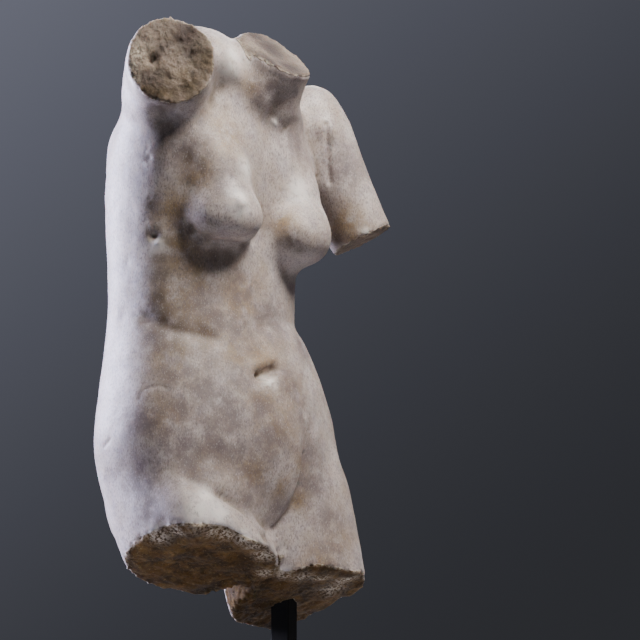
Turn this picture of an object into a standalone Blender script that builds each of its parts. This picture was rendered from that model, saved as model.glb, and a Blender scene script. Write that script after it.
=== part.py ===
"""Marble torso of a Venus, held up by a square steel post on a plinth.

Metres, +Z up. The origin is the centre of the plinth's underside, and the figure faces -Y,
so that its right side is at -X. The figure is worked out in its own units, each one part of
its height, upright and level first, and is then bent into its pose.
"""

import math

import bmesh
import bpy
import numpy as np
from mathutils import Matrix, Vector, noise
from mathutils.bvhtree import BVHTree

# Driving sizes in metres
TORSO_HEIGHT = 0.750
POST_SIDE = 0.025
POST_SHOWN = 0.130
SOCKET_DEPTH = 0.110
SEAT_GAP = 0.0003
PLINTH_SIDE = 0.340
PLINTH_HEIGHT = 0.040
PLINTH_BEVEL = 0.002
POST_CORNER = 0.0015

# How the figure is turned on its post, and which of its places stands over the plinth's middle
FIGURE_TURN = -16.0
FIGURE_MIDDLE = (-4.0, 13.0)
# Where the post meets the figure, in its own units: under the left thigh
POST_PLACE = (96.0, 2.0)

# Lean and turn of the body at heights above the crotch: (height, forward, to its left, turn to its left)
POSE = (
    (-200, -6, -6, -3),
    (120, -6, -6, -3),
    (210, -7, -4, -2),
    (265, -6, 0, 0),
    (335, -1, 3, 3),
    (400, 6, 4, 5),
    (480, 13, 4, 6),
    (560, 18, 4, 6),
    (700, 18, 4, 6),
)

# Level cuts through the trunk: (height, half width, depth in front, depth behind, squareness)
TRUNK = (
    (-30, 60, 45, 60, 2.0),
    (0, 105, 68, 80, 2.1),
    (40, 146, 86, 90, 2.3),
    (80, 168, 98, 98, 2.4),
    (130, 172, 104, 98, 2.4),
    (175, 163, 104, 92, 2.4),
    (212, 152, 99, 86, 2.4),
    (253, 140, 93, 83, 2.4),
    (290, 134, 89, 81, 2.4),
    (325, 134, 88, 85, 2.4),
    (380, 140, 88, 94, 2.4),
    (430, 148, 88, 102, 2.4),
    (475, 152, 84, 102, 2.4),
    (520, 150, 74, 94, 2.3),
    (555, 126, 54, 78, 2.2),
    (585, 80, 36, 58, 2.0),
    (605, 40, 20, 40, 2.0),
)
TRUNK_SIDES = 72
TRUNK_STEP = 12

# Cuts through a thigh: (height, distance from the middle, forward shift, half width, depth in front, behind)
THIGH = (
    (150, 84, 0, 66, 66, 60),
    (100, 86, 0, 80, 84, 76),
    (40, 88, 0, 86, 88, 84),
    (0, 88, 0, 85, 86, 86),
    (-60, 86, 2, 82, 84, 84),
    (-170, 80, 5, 74, 80, 78),
)
HIP_JOINT = (86, 0, 90)
# Each thigh's lean, and how much deeper it is behind, from under the buttock down
RIGHT_THIGH = {"forward": 17, "outward": -3, "deeper": 0}
LEFT_THIGH = {"forward": 5, "outward": 1, "deeper": 16}
BUTTOCK_FOLD = 40
THIGH_SQUARENESS = 2.1
THIGH_SIDES = 48
LIMB_STEP = 10

# Soft masses on the trunk: centre, radii, and turn outward in degrees
MASSES = {
    "left breast": ((71, -78, 403), (56, 54, 55), 18),
    "right breast": ((-66, -79, 398), (54, 50, 54), -18),
    "left upper breast": ((72, -54, 440), (54, 42, 64), 18),
    "right upper breast": ((-70, -55, 440), (54, 42, 64), -18),
    "left buttock": ((70, 40, 62), (72, 64, 84), 0),
    "right buttock": ((-70, 40, 62), (72, 64, 84), 0),
    "mound": ((0, -56, 22), (44, 26, 44), 0),
}

# Limbs: where they start, which way they go, and (distance, radius across, radius the other way)
NECK_START = (6, -14, 562)
NECK_DIRECTION = (0.10, -0.61, 0.78)
NECK = ((-50, 24, 26), (-24, 44, 40), (10, 54, 48), (45, 51, 51), (80, 50, 52), (150, 52, 53))
LEFT_ARM_START = (148, 2, 566)
LEFT_ARM_DIRECTION = (0.31, -0.31, -0.90)
LEFT_ARM = ((-44, 34, 34), (-20, 50, 52), (20, 53, 56), (70, 47, 50), (130, 42, 45), (200, 40, 42))
RIGHT_ARM_START = (-128, 2, 539)
RIGHT_ARM_DIRECTION = (-0.50, -0.72, 0.48)
RIGHT_ARM = ((-60, 40, 42), (-20, 49, 51), (30, 54, 56), (80, 53, 56), (150, 52, 54))
RIGHT_SHOULDER_START = (-24, 8, 588)
RIGHT_SHOULDER_DIRECTION = (-0.92, -0.32, 0.12)
RIGHT_SHOULDER = ((-12, 30, 30), (10, 40, 40), (60, 40, 40), (100, 38, 38))

# Swellings of the skin: facing in degrees from the front, across, height, rise, reach
SWELLINGS = (
    (0, 0, 118, 12, 120),
    (0, 88, 480, 10, 70),
    (0, -88, 480, 10, 70),
    (180, 84, 470, 10, 60),
    (180, -84, 470, 10, 60),
    (0, 60, 575, 10, 60),
    (0, -60, 575, 10, 60),
    (-22, -92, 34, 13, 60),
)

# Lines worked into the skin: facing, depth, width, and the places it runs through (across, height)
LINES = (
    ("linea", 0, -2.5, 16, ((0, 225), (0, 345))),
    ("navel", 0, -9, 8, ((-17, 189), (13, 198))),
    ("breastbone", 0, -3, 18, ((0, 395), (0, 520))),
    ("neck pit", 0, -6, 13, ((0, 562), (2, 570))),
    ("left groin", 0, -6, 11, ((52, 118), (50, 78), (44, 56), (35, 38), (24, 22), (8, 6))),
    ("right groin", 0, -8, 11, ((-128, 76), (-114, 64), (-97, 54), (-70, 43), (-42, 27), (-14, 8))),
    ("left collar bone", 0, 5, 13, ((16, 560), (70, 572), (128, 566))),
    ("right collar bone", 0, 5, 13, ((-14, 562), (-50, 582), (-96, 598))),
    ("left breast fold", 0, -3, 11, ((34, 374), (78, 360), (120, 374))),
    ("right breast fold", 0, -3, 11, ((-34, 374), (-78, 360), (-120, 374))),
    ("furrow of the back", 180, -7, 16, ((0, 120), (0, 260), (0, 480))),
    ("cleft", 180, -18, 15, ((0, -60), (0, 20), (0, 100))),
    ("left fold under the buttock", 180, -6, 17, ((-24, -16), (-70, -22), (-120, -2))),
    ("right fold under the buttock", 180, -6, 17, ((24, -16), (70, -22), (120, -2))),
    ("left waist crease", 60, -6, 16, ((-70, 262), (0, 272), (60, 276))),
    ("right waist crease", -60, -3, 22, ((-60, 275), (-34, 266), (3, 257), (50, 250))),
)

GRAIN = 5.0
EDGE_GRAIN = 3.5
SMOOTHING = 32
TORSO_TRIANGLES = 8600

# Breaks, in the posed figure: centre, outward normal, half size, hollow, roughness, seed
LIMB_BREAKS = {
    "neck break": ((13, -62, 608), (0.03, -0.67, 0.73), 80, 3, 5, 3.0),
    "right arm break": ((-164, -51, 573), (-0.655, -0.732, 0.189), 80, 4, 6, 7.0),
    "left arm break": ((194, -34, 390), (0.32, -0.32, -0.89), 70, 2, 3, 11.0),
}
# Each thigh's break: a place on it, its rise along X, and along Y in front and behind
RIGHT_THIGH_BREAK = ((-88, -10, -31), -0.315, -0.351, -0.351)
LEFT_THIGH_BREAK = ((88, -15, -63), -0.100, -0.370, -0.500)
THIGH_STEP_WIDTH = 24.0
THIGH_BREAK_ROUGH = 9.0
THIGH_CUT_HALF_SIZE = 230.0
BREAK_LUMP = 40.0
BREAK_GRAIN = 15.4
BREAK_STEP = 6.0
HOLLOW_SHARE = 0.4


def clear_scene():
    """An empty scene to build in."""
    for old in list(bpy.data.objects):
        bpy.data.objects.remove(old)


def eased(keys, at):
    """What the rows of keys give at a place between them, on a curve that never overshoots."""
    table = np.array(keys, float)
    table = table[np.argsort(table[:, 0])]
    place, value = table[:, 0], table[:, 1:]
    gap = np.diff(place)[:, None]
    slope = np.diff(value, axis=0) / gap
    tangent = np.zeros_like(value)
    before, after = slope[:-1], slope[1:]
    same_way = before * after > 0
    total = np.where(same_way, before + after, 1.0)
    tangent[1:-1] = np.where(same_way, 2 * before * after / total, 0.0)
    tangent[0], tangent[-1] = slope[0], slope[-1]
    at = np.clip(np.atleast_1d(np.asarray(at, float)), place[0], place[-1])
    row = np.clip(np.searchsorted(place, at) - 1, 0, len(place) - 2)
    width = gap[row]
    t = (at - place[row])[:, None] / width
    return (
        value[row] * (2 * t**3 - 3 * t**2 + 1)
        + tangent[row] * width * (t**3 - 2 * t**2 + t)
        + value[row + 1] * (3 * t**2 - 2 * t**3)
        + tangent[row + 1] * width * (t**3 - t**2)
    )


def lean_matrix(forward, left, turn):
    """A turn about the upright, after a lean to the figure's left, after a lean forward."""
    return (
        Matrix.Rotation(math.radians(turn), 3, "Z")
        @ Matrix.Rotation(math.radians(left), 3, "Y")
        @ Matrix.Rotation(math.radians(forward), 3, "X")
    )


SPINE_STEP = 5.0
SPINE_HEIGHTS = np.arange(POSE[0][0], POSE[-1][0] + SPINE_STEP, SPINE_STEP)


def spine():
    """Where the body's axis runs once it is posed, and how its level cuts lie, at each height."""
    leans = eased(POSE, SPINE_HEIGHTS)
    frames = np.array([np.array(lean_matrix(*row)) for row in leans])
    steps = frames[:, :, 2] * SPINE_STEP
    places = np.cumsum(steps, axis=0) - steps / 2
    base = np.array([np.interp(0, SPINE_HEIGHTS, places[:, k]) for k in range(3)])
    return places - base, frames


SPINE_PLACES, SPINE_FRAMES = spine()


def posed(points):
    """Points of the upright figure, carried to where the pose puts them."""
    points = np.atleast_2d(np.asarray(points, float))
    heights = points[:, 2]
    out = np.zeros_like(points)
    for k in range(3):
        centre = np.interp(heights, SPINE_HEIGHTS, SPINE_PLACES[:, k])
        along_x = np.interp(heights, SPINE_HEIGHTS, SPINE_FRAMES[:, k, 0])
        along_y = np.interp(heights, SPINE_HEIGHTS, SPINE_FRAMES[:, k, 1])
        out[:, k] = centre + along_x * points[:, 0] + along_y * points[:, 1]
    return out


def posed_point(point):
    return Vector(posed([point])[0])


def posed_direction(height, direction):
    """A direction of the upright figure at a height, once posed."""
    frame = [np.interp(height, SPINE_HEIGHTS, SPINE_FRAMES[:, r, c]) for r in range(3) for c in range(3)]
    turned = np.array(frame).reshape(3, 3) @ np.array(direction, float)
    return Vector(turned).normalized()


def new_object(name, bm):
    mesh = bpy.data.meshes.new(name)
    bm.normal_update()
    bm.to_mesh(mesh)
    bm.free()
    obj = bpy.data.objects.new(name, mesh)
    bpy.context.scene.collection.objects.link(obj)
    return obj


def coordinates(obj, field="co"):
    co = np.empty(len(obj.data.vertices) * 3)
    obj.data.vertices.foreach_get(field, co)
    return co.reshape(-1, 3)


def place_vertices(obj, co):
    obj.data.vertices.foreach_set("co", np.asarray(co, float).ravel())
    obj.data.update()


def loft(name, rings):
    """A closed skin through rings of points, each with as many points as the first."""
    bm = bmesh.new()
    loops = []
    for points in rings:
        ring = [bm.verts.new(point) for point in points]
        loops.append([bm.edges.new((a, b)) for a, b in zip(ring, ring[1:] + ring[:1])])
    for lower, upper in zip(loops, loops[1:]):
        bmesh.ops.bridge_loops(bm, edges=lower + upper)
    bmesh.ops.holes_fill(bm, edges=loops[0] + loops[-1])
    bmesh.ops.recalc_face_normals(bm, faces=bm.faces)
    return new_object(name, bm)


def cut_outline(half_width, front, behind, squareness, sides):
    """One level cut of a body, as offsets from its middle: a rounded oval, deeper on one side."""
    angle = np.arange(sides) * 2 * math.pi / sides
    across, along = np.cos(angle), np.sin(angle)
    power = 2.0 / squareness
    depth = np.where(along < 0, front, behind)
    x = half_width * np.sign(across) * np.abs(across) ** power
    y = depth * np.sign(along) * np.abs(along) ** power
    return x, y


def trunk():
    heights = np.arange(TRUNK[0][0], TRUNK[-1][0] + 1, TRUNK_STEP)
    rings = []
    for height, row in zip(heights, eased(TRUNK, heights)):
        x, y = cut_outline(*row, TRUNK_SIDES)
        rings.append(np.column_stack([x, y, np.full_like(x, height)]))
    obj = loft("trunk", rings)
    place_vertices(obj, posed(coordinates(obj)))
    return obj


def thigh(side, bend):
    heights = np.arange(THIGH[-1][0], THIGH[0][0] + 1, TRUNK_STEP)
    pivot = Vector((side * HIP_JOINT[0], HIP_JOINT[1], HIP_JOINT[2]))
    turn = Matrix.Rotation(math.radians(bend["outward"]) * -side, 3, "Y") @ Matrix.Rotation(
        math.radians(-bend["forward"]), 3, "X"
    )
    rings = []
    for height, row in zip(heights, eased(THIGH, heights)):
        apart, shift, half_width, front, behind = row
        behind += bend["deeper"] * min(max(1 - height / BUTTOCK_FOLD, 0), 1)
        x, y = cut_outline(half_width, front, behind, THIGH_SQUARENESS, THIGH_SIDES)
        points = np.column_stack([x + side * apart, y - shift, np.full_like(x, height)])
        rings.append([turn @ (Vector(p) - pivot) + pivot for p in points])
    obj = loft("thigh", rings)
    place_vertices(obj, posed(coordinates(obj)))
    return obj


def mass(name, centre, radii, outward):
    """A soft oval mass on the trunk, posed with it."""
    bm = bmesh.new()
    bmesh.ops.create_icosphere(bm, subdivisions=4, radius=1.0)
    obj = new_object(name, bm)
    turn = np.array(Matrix.Rotation(math.radians(outward), 3, "Z"))
    co = coordinates(obj) * np.array(radii) @ turn.T
    place_vertices(obj, posed(co + np.array(centre)))
    return obj


def limb(name, start, direction, stations, sides=40):
    """A round limb along a straight axis, from its start in the upright figure."""
    start = posed_point(start)
    direction = Vector(direction).normalized()
    across = Vector((1, 0, 0))
    across = (across - across.dot(direction) * direction).normalized()
    other = direction.cross(across)
    rings = []
    distances = np.arange(stations[0][0], stations[-1][0] + 1, LIMB_STEP)
    for distance, (wide, deep) in zip(distances, eased(stations, distances)):
        centre = start + direction * distance
        angles = np.arange(sides) * 2 * math.pi / sides
        rings.append([centre + across * wide * math.cos(a) + other * deep * math.sin(a) for a in angles])
    return loft(name, rings)


def evaluated_copy(name, obj):
    """The object with its modifiers worked in, as a new object. The old one goes."""
    graph = bpy.context.evaluated_depsgraph_get()
    mesh = bpy.data.meshes.new_from_object(obj.evaluated_get(graph))
    bpy.data.objects.remove(obj)
    made = bpy.data.objects.new(name, mesh)
    bpy.context.scene.collection.objects.link(made)
    return made


def joined(name, parts):
    bm = bmesh.new()
    for part in parts:
        bm.from_mesh(part.data)
        bpy.data.objects.remove(part)
    return new_object(name, bm)


def remeshed(name, obj, grain, smoothing=0):
    """One even skin round everything in the object, softened where masses meet."""
    remesh = obj.modifiers.new("even skin", "REMESH")
    remesh.mode = "VOXEL"
    remesh.voxel_size = grain
    if smoothing:
        soften = obj.modifiers.new("soften", "SMOOTH")
        soften.factor = 0.5
        soften.iterations = smoothing
    return evaluated_copy(name, obj)


def on_skin(tree, facing, across, height):
    """The place on the skin seen from a side of the upright figure, across from its middle."""
    angle = math.radians(facing)
    outward = Vector((math.sin(angle), -math.cos(angle), 0))
    sideways = Vector((math.cos(angle), math.sin(angle), 0))
    start = outward * 400 + sideways * across
    hit = tree.ray_cast(posed_point((start.x, start.y, height)), posed_direction(height, -outward))[0]
    if hit is None:
        middle = sideways * across
        hit = tree.find_nearest(posed_point((middle.x, middle.y, height)))[0]
    return np.array(hit)


def distance_to_path(co, path):
    """How far points are from a line through places, measured straight."""
    nearest = np.full(len(co), np.inf)
    for start, end in zip(path, path[1:]):
        way = end - start
        share = np.clip((co - start) @ way / (way @ way), 0, 1)
        nearest = np.minimum(nearest, np.linalg.norm(co - start - share[:, None] * way, axis=1))
    return nearest


def modelled(obj):
    """The skin with its swellings and lines worked in."""
    for facing, across, height, rise, reach in SWELLINGS:
        tree = BVHTree.FromObject(obj, bpy.context.evaluated_depsgraph_get())
        centre = on_skin(tree, facing, across, height)
        co, normals = coordinates(obj), coordinates(obj, "normal")
        share = np.clip(1 - (np.linalg.norm(co - centre, axis=1) / reach) ** 2, 0, 1) ** 2
        place_vertices(obj, co + normals * (rise * share)[:, None])
    tree = BVHTree.FromObject(obj, bpy.context.evaluated_depsgraph_get())
    co, normals = coordinates(obj), coordinates(obj, "normal")
    shift = np.zeros(len(co))
    for _, facing, depth, width, places in LINES:
        path = [on_skin(tree, facing, across, height) for across, height in places]
        shift += depth * np.exp(-((distance_to_path(co, path) / width) ** 2))
    place_vertices(obj, co + normals * shift[:, None])
    return obj


def figure():
    parts = [trunk()]
    for side, bend in ((-1, RIGHT_THIGH), (1, LEFT_THIGH)):
        parts.append(thigh(side, bend))
    parts += [mass(name, *row) for name, row in MASSES.items()]
    parts.append(limb("neck", NECK_START, NECK_DIRECTION, NECK))
    parts.append(limb("left arm", LEFT_ARM_START, LEFT_ARM_DIRECTION, LEFT_ARM))
    parts.append(limb("right arm", RIGHT_ARM_START, RIGHT_ARM_DIRECTION, RIGHT_ARM))
    parts.append(limb("right shoulder", RIGHT_SHOULDER_START, RIGHT_SHOULDER_DIRECTION, RIGHT_SHOULDER))
    return modelled(remeshed("figure", joined("masses", parts), GRAIN, SMOOTHING))


def roughness(u, v, seed):
    """Broken stone between -1 and 1: broad hollows with smaller lumps on them."""
    broad = noise.noise(Vector((u / BREAK_LUMP, v / BREAK_LUMP, seed)))
    small = noise.noise(Vector((u / BREAK_GRAIN, v / BREAK_GRAIN, seed + 9.0)))
    return 0.7 * broad + 0.3 * small


def rough_block(name, half_size, height):
    """A block to cut with, as high as it is wide. Its lower face is rough, as height says."""
    bm = bmesh.new()
    count = round(2 * half_size / BREAK_STEP)
    bmesh.ops.create_grid(bm, x_segments=count, y_segments=count, size=half_size)
    for vert in bm.verts:
        vert.co.z = height(vert.co.x, vert.co.y)
    raised = bmesh.ops.extrude_face_region(bm, geom=list(bm.faces))["geom"]
    for vert in (item for item in raised if isinstance(item, bmesh.types.BMVert)):
        vert.co.z = 2 * half_size
    bmesh.ops.recalc_face_normals(bm, faces=bm.faces)
    return new_object(name, bm)


def limb_break(name, centre, normal, half_size, hollow, rough, seed):
    """The cutter for a broken limb: a rough face across it, a little hollow in the middle."""

    def height(u, v):
        off_middle = math.hypot(u, v) / (HOLLOW_SHARE * half_size)
        return rough * roughness(u, v, seed) - hollow * math.exp(-(off_middle**2))

    block = rough_block(name, half_size, height)
    turn = Vector(normal).normalized().to_track_quat("Z", "Y").to_matrix()
    block.data.transform(Matrix.Translation(centre) @ turn.to_4x4())
    return block


def thigh_break():
    """The cutter below the thighs: each is broken on its own slope, with a step between them."""

    def level(row, x, y):
        centre, sideways, in_front, behind = row
        x, y = x - centre[0], y - centre[1]
        return centre[2] + sideways * x + (in_front if y < 0 else behind) * y

    def height(u, v):
        x, y = u, -v
        share = min(max(x / THIGH_STEP_WIDTH + 0.5, 0.0), 1.0)
        share = share * share * (3 - 2 * share)
        right, left = level(RIGHT_THIGH_BREAK, x, y), level(LEFT_THIGH_BREAK, x, y)
        return -(right * (1 - share) + left * share + THIGH_BREAK_ROUGH * roughness(x, y, 5.0))

    block = rough_block("thigh break", THIGH_CUT_HALF_SIZE, height)
    block.data.transform(Matrix.Rotation(math.pi, 4, "X"))
    return block


def cut(body, cutter):
    """The body less the cutter, as a new object. The cutter goes."""
    name = body.name
    boolean = body.modifiers.new("cut", "BOOLEAN")
    boolean.operation = "DIFFERENCE"
    boolean.solver = "EXACT"
    boolean.object = cutter
    made = evaluated_copy(name, body)
    bpy.data.objects.remove(cutter)
    return made


def broken(body):
    for name, row in LIMB_BREAKS.items():
        body = cut(body, limb_break(name, *row))
    return cut(body, thigh_break())


def facetted(body, triangles):
    """The same form in about so many triangles, fewest where it is flattest."""
    name = body.name
    collapse = body.modifiers.new("facets", "DECIMATE")
    collapse.ratio = triangles / sum(len(face.vertices) - 2 for face in body.data.polygons)
    collapse.use_collapse_triangulate = True
    return evaluated_copy(name, body)


def square_bar(name, side, bottom, top, corner=0.0):
    """An upright square bar, with its upright edges rounded when a corner is given."""
    bm = bmesh.new()
    bmesh.ops.create_cube(bm, size=1.0)
    bmesh.ops.scale(bm, vec=(side, side, top - bottom), verts=bm.verts)
    bmesh.ops.translate(bm, vec=(0, 0, (top + bottom) / 2), verts=bm.verts)
    if corner:
        upright = [edge for edge in bm.edges if edge.verts[0].co.xy == edge.verts[1].co.xy]
        bmesh.ops.bevel(bm, geom=upright, offset=corner, segments=2, profile=0.5, affect="EDGES")
    return new_object(name, bm)


def square_plinth():
    """The block everything stands on, with its upper and upright edges taken off."""
    bm = bmesh.new()
    bmesh.ops.create_cube(bm, size=1.0)
    bmesh.ops.scale(bm, vec=(PLINTH_SIDE, PLINTH_SIDE, PLINTH_HEIGHT), verts=bm.verts)
    bmesh.ops.translate(bm, vec=(0, 0, PLINTH_HEIGHT / 2), verts=bm.verts)
    edges = [edge for edge in bm.edges if max(vert.co.z for vert in edge.verts) > PLINTH_HEIGHT / 2]
    bmesh.ops.bevel(bm, geom=edges, offset=PLINTH_BEVEL, segments=1, affect="EDGES")
    return new_object("plinth", bm)


def coloured(obj, slot, colour, rough):
    material = bpy.data.materials.new(slot)
    material.use_nodes = True
    shader = material.node_tree.nodes["Principled BSDF"]
    shader.inputs["Base Color"].default_value = (*colour, 1.0)
    shader.inputs["Roughness"].default_value = rough
    obj.data.materials.clear()
    obj.data.materials.append(material)


def stood_up(body):
    """Stands the figure over the plinth at its real size, and says where its post goes."""
    co = coordinates(body)
    unit = TORSO_HEIGHT / (co[:, 2].max() - co[:, 2].min())
    stand = (
        Matrix.Translation((0, 0, PLINTH_HEIGHT + POST_SHOWN))
        @ Matrix.Rotation(math.radians(FIGURE_TURN), 4, "Z")
        @ Matrix.Scale(unit, 4)
        @ Matrix.Translation((-FIGURE_MIDDLE[0], -FIGURE_MIDDLE[1], -co[:, 2].min()))
    )
    body.data.transform(stand)
    return (stand @ Vector((*POST_PLACE, 0))).xy.to_3d()


def main():
    clear_scene()
    torso = facetted(remeshed("torso", broken(figure()), EDGE_GRAIN), TORSO_TRIANGLES)
    post_place = stood_up(torso)
    tree = BVHTree.FromObject(torso, bpy.context.evaluated_depsgraph_get())
    mouth = tree.ray_cast(post_place, Vector((0, 0, 1)))[0].z
    ceiling = mouth + SOCKET_DEPTH
    socket = square_bar("socket", POST_SIDE + 2 * SEAT_GAP, PLINTH_HEIGHT, ceiling)
    socket.location = post_place
    torso = cut(torso, socket)
    post = square_bar("post", POST_SIDE, PLINTH_HEIGHT + SEAT_GAP, ceiling - SEAT_GAP, POST_CORNER)
    post.location = post_place
    coloured(torso, "marble", (0.62, 0.57, 0.52), 0.6)
    coloured(post, "post paint", (0.02, 0.02, 0.022), 0.5)
    coloured(square_plinth(), "plinth paint", (0.025, 0.025, 0.028), 0.6)


main()
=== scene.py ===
# %% [markdown]
# # A broken marble torso on its steel post
# The solid model of this sculpture is already packed, in metres, as three nodes: the torso, the
# post and the plinth. Here it gets its looks. The solids stay where they are. The torso's plain
# facets are covered by a finer skin of the same form, carved and broken as the real stone is,
# and the post and plinth keep their solids and get their paint.

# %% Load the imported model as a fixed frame
import math

import bmesh
import bpy
import numpy as np
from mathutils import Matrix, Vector, noise
from mathutils.bvhtree import BVHTree


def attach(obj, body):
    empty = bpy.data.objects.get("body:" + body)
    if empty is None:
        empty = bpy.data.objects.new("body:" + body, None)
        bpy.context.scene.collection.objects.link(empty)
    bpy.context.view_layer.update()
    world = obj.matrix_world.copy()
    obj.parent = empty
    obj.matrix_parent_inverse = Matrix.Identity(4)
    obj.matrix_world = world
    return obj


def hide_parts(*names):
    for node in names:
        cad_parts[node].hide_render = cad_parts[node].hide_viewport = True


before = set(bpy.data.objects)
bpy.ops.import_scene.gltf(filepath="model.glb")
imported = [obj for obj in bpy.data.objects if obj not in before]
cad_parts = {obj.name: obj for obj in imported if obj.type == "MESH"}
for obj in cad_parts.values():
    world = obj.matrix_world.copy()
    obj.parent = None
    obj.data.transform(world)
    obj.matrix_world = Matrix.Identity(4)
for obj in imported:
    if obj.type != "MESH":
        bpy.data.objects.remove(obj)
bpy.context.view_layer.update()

MM = 0.001

# %% [markdown]
# ## The camera first
# The sculpture is seen from its right side and a little from below, through a long lens. The
# camera comes first, because small carved details are placed by looking along a line of sight:
# the place where a line through the picture meets the stone is the place to carve.

# %% Camera
AZIMUTH = math.radians(-64.0)
ELEVATION = math.radians(-7.0)
DISTANCE = 3.0
AIM = Vector((0.0175, -0.1262, 0.5488))
PICTURE = 640
PICTURE_PER_METRE = 810.0
SENSOR = 36.0

towards_camera = Vector((
    math.sin(AZIMUTH) * math.cos(ELEVATION),
    -math.cos(AZIMUTH) * math.cos(ELEVATION),
    math.sin(ELEVATION),
))
rightward = Vector((math.cos(AZIMUTH), math.sin(AZIMUTH), 0))
upward = towards_camera.cross(rightward)

camera = bpy.data.objects.new("camera", bpy.data.cameras.new("camera"))
bpy.context.scene.collection.objects.link(camera)
camera.location = AIM + towards_camera * DISTANCE
camera.rotation_euler = (-towards_camera).to_track_quat("-Z", "Y").to_euler()
camera.data.sensor_width = SENSOR
camera.data.lens = SENSOR * DISTANCE * PICTURE_PER_METRE / PICTURE
bpy.context.scene.camera = camera


def line_of_sight(across, down):
    """From the camera through a place in the picture, counted from its upper left corner."""
    sideways = (across - PICTURE / 2) / PICTURE_PER_METRE
    upwards = (PICTURE / 2 - down) / PICTURE_PER_METRE
    target = AIM + rightward * sideways + upward * upwards
    return camera.location.copy(), (target - camera.location).normalized()


print("camera at", [round(v, 3) for v in camera.location], "lens", round(camera.data.lens, 1))

# %% [markdown]
# ## A skin that can be carved
# The solid has facets as wide as a finger. A sculpted surface wants small even faces. The way
# here is the sculptor's: take a copy of the solid, merge its loose triangles, round it with a
# subdivision whose sharp edges are creased, and wrap it in a voxel remesh. The remesh gives
# quads of one size, with no stretched ones, at the cost of rounding each edge by about one voxel.

# %% Copy the solid and wrap it
VOXEL = 4.0 * MM
SHARP_EDGE = math.radians(38)
MERGE_WITHIN = 0.01 * MM
ROUNDING_LEVELS = 2
SOFTENING_ROUNDS = 4


def worked_in(obj, name):
    """The object with its modifiers worked into the mesh, as a new object. The old one goes."""
    graph = bpy.context.evaluated_depsgraph_get()
    mesh = bpy.data.meshes.new_from_object(obj.evaluated_get(graph))
    bpy.data.objects.remove(obj)
    made = bpy.data.objects.new(name, mesh)
    bpy.context.scene.collection.objects.link(made)
    return made


def wrapped_copy(node, name):
    """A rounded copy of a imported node, under an even skin of small quads."""
    mesh = node.data.copy()
    bm = bmesh.new()
    bm.from_mesh(mesh)
    bmesh.ops.remove_doubles(bm, verts=bm.verts, dist=MERGE_WITHIN)
    crease = bm.edges.layers.float.new("crease_edge")
    for edge in bm.edges:
        if edge.is_manifold and edge.calc_face_angle() > SHARP_EDGE:
            edge[crease] = 1.0
    bm.to_mesh(mesh)
    bm.free()
    mesh.materials.clear()
    obj = bpy.data.objects.new(name, mesh)
    bpy.context.scene.collection.objects.link(obj)
    rounding = obj.modifiers.new("round the facets", "SUBSURF")
    rounding.levels = ROUNDING_LEVELS
    rounding.render_levels = ROUNDING_LEVELS
    wrap = obj.modifiers.new("even skin", "REMESH")
    wrap.mode = "VOXEL"
    wrap.voxel_size = VOXEL
    soften = obj.modifiers.new("soften", "SMOOTH")
    soften.factor = 0.5
    soften.iterations = SOFTENING_ROUNDS
    return worked_in(obj, name)


torso = wrapped_copy(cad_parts["torso"], "marble_torso")
print("skin:", len(torso.data.vertices), "points")


# %% [markdown]
# ## Points as arrays
# Carving moves thousands of points by a rule. Each rule reads the points and their normals as
# arrays and gives back how far each one moves along its normal.

# %% Reading and moving points
def points_of(obj, field="co"):
    """The points' places as rows of three, or another field of theirs, such as the normal."""
    values = np.empty(len(obj.data.vertices) * 3)
    obj.data.vertices.foreach_get(field, values)
    return values.reshape(-1, 3)


def raise_skin(obj, amount):
    """Moves each point out along its own normal, or in where the amount is negative."""
    moved = points_of(obj) + points_of(obj, "normal") * amount[:, None]
    obj.data.vertices.foreach_set("co", moved.ravel())
    obj.data.update()


def ease(low, high, value):
    """0 below low, 1 above high, and a smooth rise between."""
    share = np.clip((value - low) / (high - low), 0, 1)
    return share * share * (3 - 2 * share)


def bell(distance, width):
    """1 at no distance, and almost gone at twice the width."""
    return np.exp(-((distance / width) ** 2))


def smoothed(obj, values, rounds):
    """Values on the points, evened out along the mesh's edges a number of times."""
    edges = np.empty(len(obj.data.edges) * 2, int)
    obj.data.edges.foreach_get("vertices", edges)
    first, second = edges.reshape(-1, 2).T
    count = len(values)
    table = values.reshape(count, -1).astype(float)
    neighbours = np.bincount(first, minlength=count) + np.bincount(second, minlength=count)
    for _ in range(rounds):
        for column in table.T:
            total = np.bincount(first, column[second], count) + np.bincount(second, column[first], count)
            column[:] = 0.5 * column + 0.5 * total / neighbours
    return table.reshape(values.shape)


print("the skin's lowest point:", round(float(points_of(torso)[:, 2].min()), 3), "m up")

# %% [markdown]
# ## Uneven stone
# Two kinds of unevenness are enough. Weathering and hand work leave soft lumps, which a fractal
# noise gives. A break leaves small flat faces, each leaning its own way, because marble is a
# mass of crystals. For those, space is shared out in cells, and each cell is a plane with a
# lean of its own.

# %% Lumps and crystal faces
# Without a seed of its own, the vector noise leans another way at each run
NOISE_SEED = 7
noise.seed_set(NOISE_SEED)
# A cell's lean is read this many times farther out, so that neighbours lean apart
LEAN_SPREAD = 5.3


def lumps(points, size, seed, octaves=3):
    """Soft lumps between about -1 and 1, of a size in metres."""
    shift = Vector((seed, seed * 1.7, seed * 0.6))
    return np.array([noise.fractal(Vector(p) / size + shift, 1.0, 2.0, octaves) for p in points.tolist()])


def crystal_faces(points, size, seed):
    """Small leaning faces between about -1 and 1, of a size in metres."""
    shift = Vector((seed * 1.3, seed, seed * 0.7))
    heights = []
    for p in points.tolist():
        place = Vector(p) / size + shift
        middle = noise.voronoi(place)[1][0]
        heights.append((place - middle).dot(noise.noise_vector(middle * LEAN_SPREAD)) * 2)
    return np.array(heights)


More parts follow.
